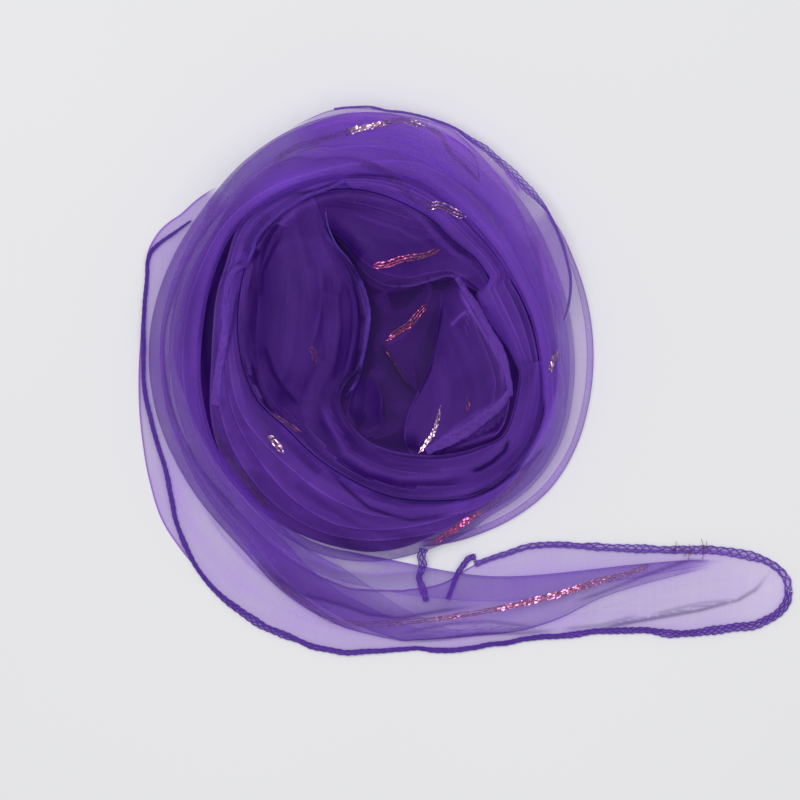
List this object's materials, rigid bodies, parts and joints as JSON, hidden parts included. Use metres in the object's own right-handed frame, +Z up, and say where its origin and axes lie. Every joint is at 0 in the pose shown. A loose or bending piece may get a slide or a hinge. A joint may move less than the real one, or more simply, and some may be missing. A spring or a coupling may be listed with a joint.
{
  "type": "neck scarf",
  "caption": "Sheer organza neck scarf with metallic pinstripes and overlocked hems, gathered, coiled like a rose and laid flat with one end trailing.",
  "frame": {"origin": "on the table, under the middle of the scarf's outline", "axes": "+X along the trailing end, away from the coil; +Z up, out of the table"},
  "size_m": [0.2935, 0.2489, 0.0454],
  "materials": {
    "violet_organza": "sheer violet organza in several layers, soft satin sheen",
    "deep_organza": "the same organza in many layers, deep violet",
    "single_organza": "one sheer layer of the organza, pale lilac over a light ground",
    "overlock_hem": "rolled edge bound with looped polyester thread, slightly glossy",
    "metallic_stripe": "woven flat metallic yarn, pink, crinkled and mirror-like in places"
  },
  "bodies": {
    "root": {"hidden_layers": "deep_organza", "outer_turn_left": "violet_organza", "outer_turn_right": "violet_organza", "second_turn": "violet_organza", "second_turn_top": "deep_organza", "second_turn_right": "deep_organza", "bud_left_petal": "violet_organza", "bud_top_flap": "violet_organza", "bud_bottom_roll": "violet_organza", "bud_right_petal": "violet_organza", "throat_fold": "deep_organza", "lower_spread": "single_organza", "left_brim": "single_organza", "right_brim": "single_organza", "top_brim": "single_organza", "tail_sheet": "single_organza", "tail_band": "violet_organza", "hem_end": "overlock_hem", "hem_tail": "overlock_hem", "hem_drop": "overlock_hem", "hem_spread": "overlock_hem", "hem_far": "overlock_hem", "hem_second": "overlock_hem", "hem_bud": "overlock_hem"}
  },
  "joints": []
}
